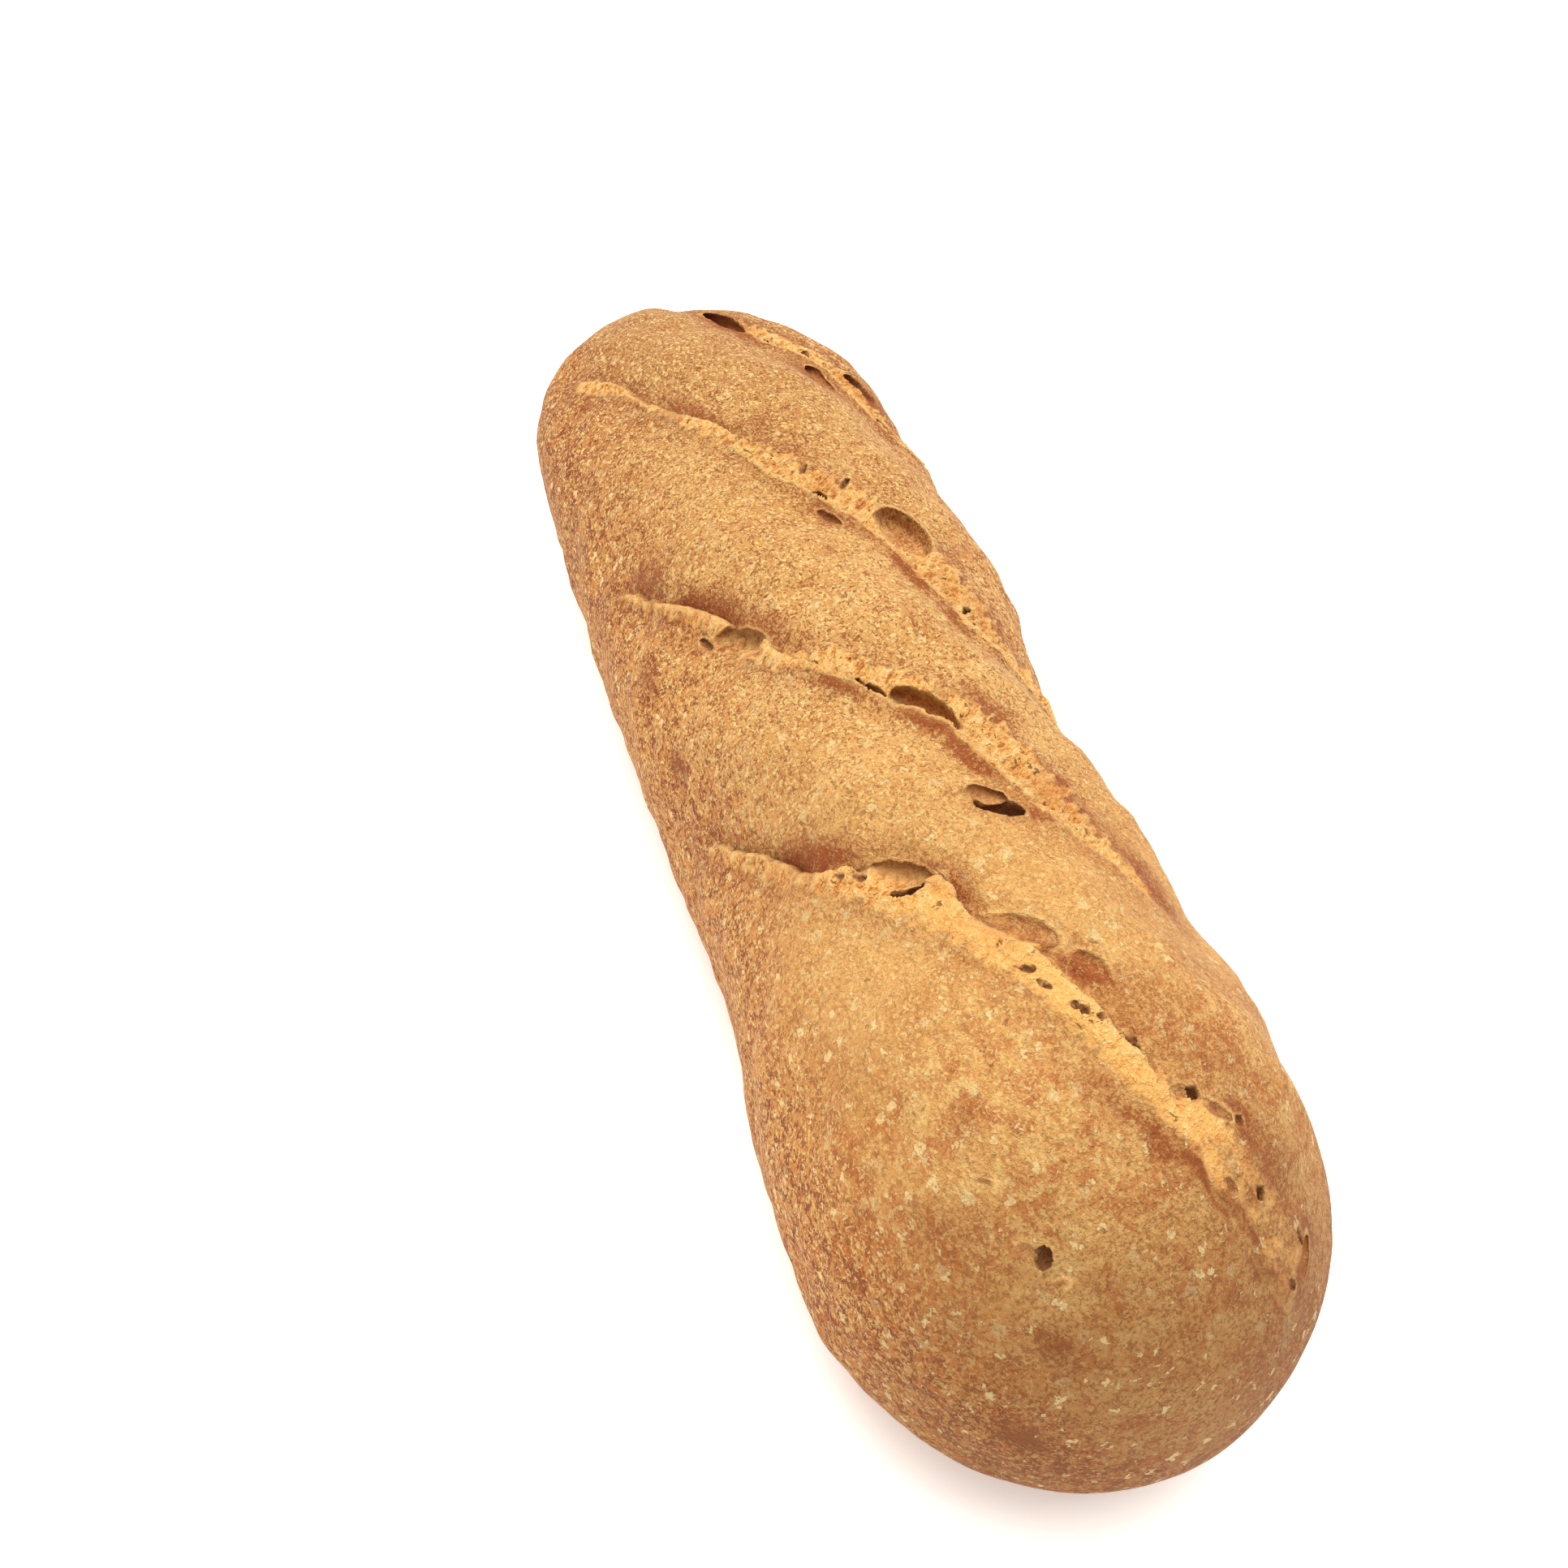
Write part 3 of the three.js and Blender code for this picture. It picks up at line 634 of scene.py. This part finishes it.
crust = bpy.data.materials.new("wholemeal_crust")
crust.use_nodes = True
crust.node_tree.nodes.clear()
Wire.tree = crust.node_tree

# Places on the loaf in millimetres, and a wandering shift that keeps scattered things ragged
here = scaled(Wire.node("ShaderNodeTexCoord", {}, {}, "Object"), PER_METRE)
wander = Wire.node("ShaderNodeTexNoise", {},
                   {"Vector": here, "Scale": 1.1, "Detail": 2.0}, "Color")
wander = scaled(wander, 2.4)


def cloud(size, detail, rough, warp, offset):
    """Noise of a size in millimetres, about 0 to 1."""
    at = shifted(here, (offset, offset * 2, offset * 3))
    return Wire.node("ShaderNodeTexNoise", {}, {"Vector": at, "Scale": 1 / size, "Detail": detail,
                                                "Roughness": rough, "Distortion": warp})


def scattered(cell, offset):
    """Distance to the middle of random cells, and each cell's own random number."""
    at = shifted(shifted(here, (offset, offset, offset)), wander)
    sockets = {"Vector": at, "Scale": 1 / cell}
    gap = Wire.node("ShaderNodeTexVoronoi", {}, sockets, "Distance")
    tint = Wire.node("ShaderNodeTexVoronoi", {}, sockets, "Color")
    return gap * cell, Wire.node("ShaderNodeSeparateColor", {}, {"Color": tint}, "Red")


(torn_mask, pale_rim_and_highlight_mask, crack_shade_mask, pocket_mask, back_wall_shade_mask, browning_and_shade_mask, fibre_mask, station,
 from_top) = map(painted, masks)

# Dough: slow patches and reddish blotches, calmer on the smooth top of the fuller end, creamy
# in places there, darker towards the far end, and painted darker and warmer down the flanks as
# shade
near_end = station.span(82, 115)
fuller = station.span(70, 86)
smooth_top = station.span(15, 66) * from_top.span(80, 40)
flank = from_top.span(30, 75)
patches = cloud(14, 3, 0.6, 0.6, 3).span(0.36, 0.66)
blotches = cloud(4.2, 4, 0.62, 0.8, 11).span(0.44, 0.62)
mottle = cloud(1.7, 3, 0.62, 0.6, 29)
cream = cloud(3.4, 4, 0.65, 0.8, 71).span(0.52, 0.62) * fuller
colour = mix(seen(244, 184, 106), seen(230, 166, 90), patches)
blotch_strength = 0.3 - smooth_top * 0.18 + fuller * 0.6
colour = mix(colour, seen(204, 116, 56), blotches * blotch_strength)
colour = mix(colour, seen(258, 212, 130), cream * from_top.span(70, 30) * 0.6)
colour = mix(colour, seen(178, 112, 56), station.span(0, -LENGTH / 2) * 0.6)
# Painted shade: the flanks darker and warmer
colour = mix(colour, seen(232, 132, 34), flank * (0.35 + mottle * 0.2))

# Brown granules between pale bran
grit = cloud(0.5, 3, 0.66, 0.5, 5)
bran = cloud(0.6, 3, 0.6, 0.9, 47)
# On the flanks granules and flakes are stronger, partly painted shade and highlight of grit at a
# slant
coarse = 0.3 + flank * 0.2
granules = grit * (1 - coarse) + mottle * coarse - browning_and_shade_mask * 0.08 - flank * 0.032
granules = (granules - station.span(0, -70) * 0.015).span(0.51, 0.41)
granule_colour = mix(seen(152, 80, 32), seen(152, 64, 8), flank)
colour = mix(colour, granule_colour, granules * (0.85 - smooth_top * 0.5 + flank * 0.1))
colour = mix(colour, seen(258, 216, 136), bran.span(0.53, 0.6) * (0.95 - smooth_top * 0.35))

# Bran flakes, larger pale slabs of it, and dark specks, all with ragged edges
ragged_edge = (bran - 0.5) * 1.2
flake_gap, flake_kind = scattered(1.9, 31)
flakes = (flake_gap + ragged_edge - flake_kind.span(0.6, 1.0) * 0.3).span(0.36, 0.26)
flakes = flakes * (flake_kind + flank * 0.15).span(0.56, 0.62)
colour = mix(colour, seen(275, 234, 160), flakes * (0.55 + smooth_top * 0.15 + flank * 0.4))
slab_gap, slab_kind = scattered(3.4, 83)
slabs = (slab_gap + ragged_edge * 2.2).span(0.75, 0.6) * slab_kind.span(0.5, 0.56)
colour = mix(colour, seen(255, 222, 154), slabs * (0.25 + smooth_top * 0.45))
speck_gap, speck_kind = scattered(2.3, 57)
specks = (speck_gap + ragged_edge).span(0.4, 0.25) * speck_kind.span(0.7, 0.74)
colour = mix(colour, seen(150, 84, 42), specks * 0.6)

# Browner crust, partly as baked and partly painted shade, and the darker fuller end with
# flakes still pale on it
colour = mix(colour, seen(172, 90, 38), browning_and_shade_mask * (0.3 + granules * 0.6 + mottle * 0.5))
# The fuller end is painted darker, partly as baked and partly as shade, since it faces away from
# the light
colour = mix(colour, seen(146, 84, 32), near_end * (0.3 + mottle * 0.4 + granules * 0.3))
colour = mix(colour, seen(255, 222, 156), flakes * near_end * 0.7)

# Torn crumb: drawn out across the slashes, golden, with painted highlight on its strands,
# painted shade in its hollows and small pores painted dark as shade, and more even at the fuller
# end
PULL_TURN = -0.62
PULL_STRETCH = (2.6, 0.8, 1.2)
EVEN_CRUMB = 0.505
pulled = Wire.node("ShaderNodeVectorRotate", {}, {"Vector": here, "Angle": PULL_TURN})
pulled = Wire.node("ShaderNodeVectorMath", {"operation": "MULTIPLY"},
                   {0: pulled, 1: PULL_STRETCH})
pulled = Wire.node("ShaderNodeTexNoise", {},
                   {"Vector": pulled, "Scale": 1.0, "Detail": 3.0, "Roughness": 0.6})
web = cloud(0.5, 3, 0.65, 0.5, 41)
rag = pulled * 0.6 + web * 0.4 + fibre_mask * 0.22
rag = rag + (EVEN_CRUMB - rag) * station.span(54, 62) * 0.5
torn_colour = mix(seen(270, 200, 108), seen(282, 230, 150), rag.span(0.5, 0.62))
torn_colour = mix(torn_colour, seen(232, 144, 70), rag.span(0.49, 0.4))
torn_colour = mix(torn_colour, seen(158, 82, 34), rag.span(0.4, 0.28) * 0.85)
torn_colour = mix(torn_colour, seen(222, 132, 62), browning_and_shade_mask * 0.5)
pore_gap, pore_kind = scattered(1.3, 63)
pores = (pore_gap + ragged_edge * 0.5).span(0.36, 0.2) * pore_kind.span(0.76, 0.82)
torn_colour = mix(torn_colour, seen(120, 62, 30), pores * 0.7)
torn_shown = (torn_mask + (mottle - 0.5) * 1.1).span(0.1, 0.7) * torn_mask.span(0, 0.4)
colour = mix(colour, torn_colour, torn_shown)

# Pale rims, partly painted highlight, a line of painted shade down each crack, and bubbles
# with a pinkish floor and painted shade on the back wall under the far rim
colour = mix(colour, seen(276, 220, 136), pale_rim_and_highlight_mask * (0.3 + web * 0.8))
colour = mix(colour, seen(128, 68, 34), crack_shade_mask * 0.7)
floor_colour = mix(seen(250, 176, 108), seen(226, 146, 86), mottle.span(0.55, 0.38))
floor_colour = mix(floor_colour, seen(186, 110, 58), granules * 0.5)
colour = mix(colour, floor_colour, pocket_mask * 0.85)
colour = mix(colour, seen(106, 48, 22), back_wall_shade_mask * 0.75)

# A dry, dull surface, rough with grit and bran
BUMP_HEIGHT = 1.4
height = grit * 0.35 + bran * 0.25 + mottle * 0.25 + flakes * 0.1 - pores * torn_mask * 0.4
height = height + torn_mask * rag * 0.8
bump = Wire.node("ShaderNodeBump", {},
                 {"Strength": 1.0, "Distance": BUMP_HEIGHT / PER_METRE, "Height": height})
surface = Wire.node("ShaderNodeBsdfPrincipled", {},
                    {"Base Color": colour, "Roughness": 0.72, "Specular IOR Level": 0.2,
                     "Normal": bump})
crust_output = crust.node_tree.nodes.new("ShaderNodeOutputMaterial")
crust.node_tree.links.new(surface.socket, crust_output.inputs["Surface"])
loaf_mesh.materials.append(crust)
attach(baked_loaf, "root")
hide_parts("loaf")


# --- Table and light ------------------------------------------------------------------------
# A plain white table, which glows a little so that it stays pale, and one wide soft light
# above it. Sizes here are in metres.
TABLE_REACH = 4
TABLE_GLOW = 0.3
table_mesh = bpy.data.meshes.new("table")
corners = [(TABLE_REACH * a, TABLE_REACH * b, 0) for a, b in ((-1, -1), (1, -1), (1, 1), (-1, 1))]
table_mesh.from_pydata(corners, [], [(0, 1, 2, 3)])
table = bpy.data.objects.new("table", table_mesh)
bpy.context.scene.collection.objects.link(table)
white = bpy.data.materials.new("white_table")
white.use_nodes = True
finish = white.node_tree.nodes["Principled BSDF"].inputs
finish["Base Color"].default_value = (1.0, 0.96, 0.92, 1)
finish["Roughness"].default_value = 0.9
finish["Emission Color"].default_value = (1.0, 0.95, 0.9, 1)
finish["Emission Strength"].default_value = TABLE_GLOW
table_mesh.materials.append(white)

ROOM_FILL = 0.6
world = bpy.data.worlds.new("soft_room")
world.use_nodes = True
room = world.node_tree.nodes["Background"].inputs
room["Color"].default_value = (1, 1, 1, 1)
room["Strength"].default_value = ROOM_FILL
bpy.context.scene.world = world

LAMP_WIDTH = 3
LAMP_POWER = 126
LAMP_PLACE = (-0.5, 0.1, 2.45)
LAMP_AIM = (0, 0, 0.02)
lamp = bpy.data.lights.new("overhead", "AREA")
lamp.shape = "SQUARE"
lamp.size = LAMP_WIDTH
lamp.energy = LAMP_POWER
overhead = bpy.data.objects.new("overhead", lamp)
overhead.location = LAMP_PLACE
aim = Vector(LAMP_AIM) - overhead.location
overhead.rotation_euler = aim.to_track_quat("-Z", "Y").to_euler()
bpy.context.scene.collection.objects.link(overhead)
bpy.context.scene.view_settings.view_transform = "Standard"


# --- Camera ---------------------------------------------------------------------------------
# It stands where the photograph was taken from, close above the fuller end, as worked out
# from the loaf's outline. Its place is in millimetres and its angles in degrees.
CAMERA_PLACE = (163.103, -74.144, 198.39)
CAMERA_ANGLES = (43.6, -3.845, 72.416)
LENS = 35.92
SENSOR = 36
camera_data = bpy.data.cameras.new("photo_view")
camera_data.lens = LENS
camera_data.sensor_width = SENSOR
camera = bpy.data.objects.new("photo_view", camera_data)
aimed = Euler(np.radians(CAMERA_ANGLES)).to_matrix().to_4x4()
camera.matrix_world = Matrix.Translation(Vector(CAMERA_PLACE) / PER_METRE) @ aimed
bpy.context.scene.collection.objects.link(camera)
bpy.context.scene.camera = camera
